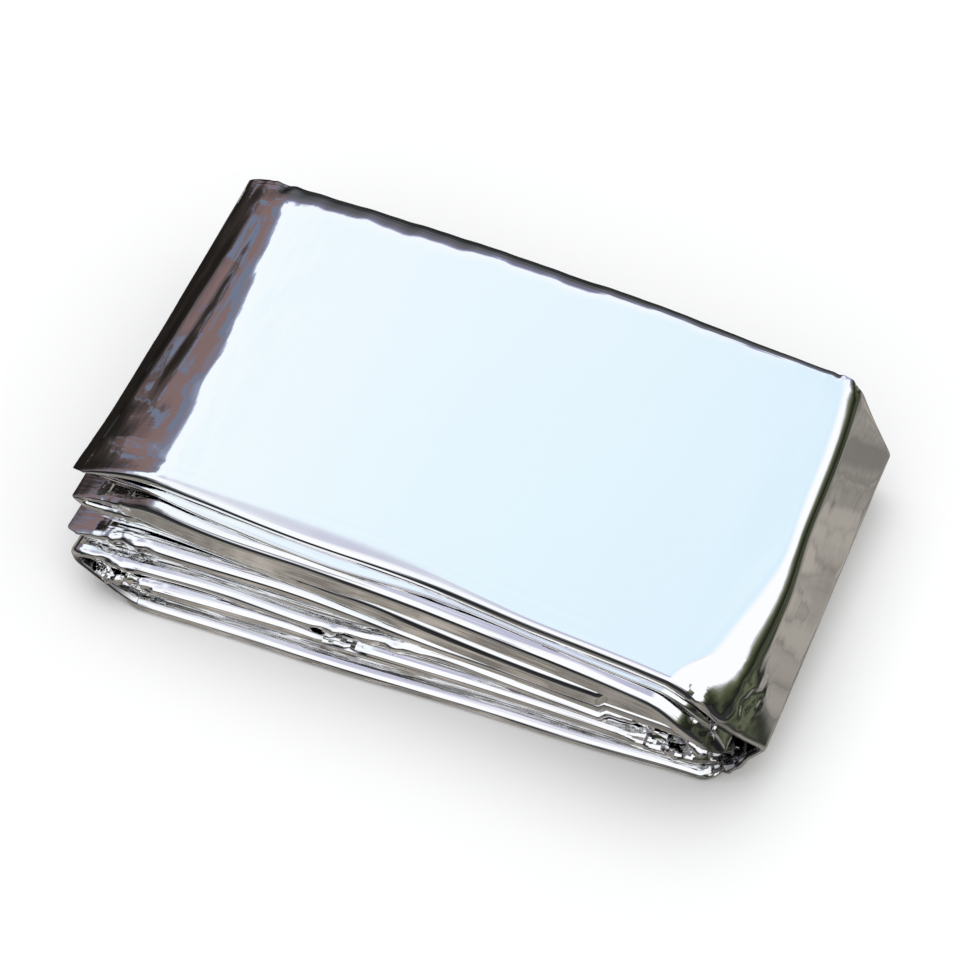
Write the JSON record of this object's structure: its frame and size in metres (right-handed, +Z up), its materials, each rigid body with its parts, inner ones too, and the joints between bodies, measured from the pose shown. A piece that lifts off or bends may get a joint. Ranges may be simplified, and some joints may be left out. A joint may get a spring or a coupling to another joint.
{
  "type": "emergency sleeping bag",
  "caption": "Emergency sleeping bag of mirror-bright metallised film, folded flat into a brick with stacked folds along its front, fold tips at one end and a wrapped nose at the other.",
  "frame": {"origin": "on the surface it rests on, under the middle of the folded brick", "axes": "+X along the brick towards its wrapped nose, +Y to its back, +Z up"},
  "size_m": [0.1321, 0.0828, 0.0306],
  "materials": {
    "metallised_film": "polished"
  },
  "bodies": {
    "root": {"folded_bag": "metallised_film"}
  },
  "joints": []
}
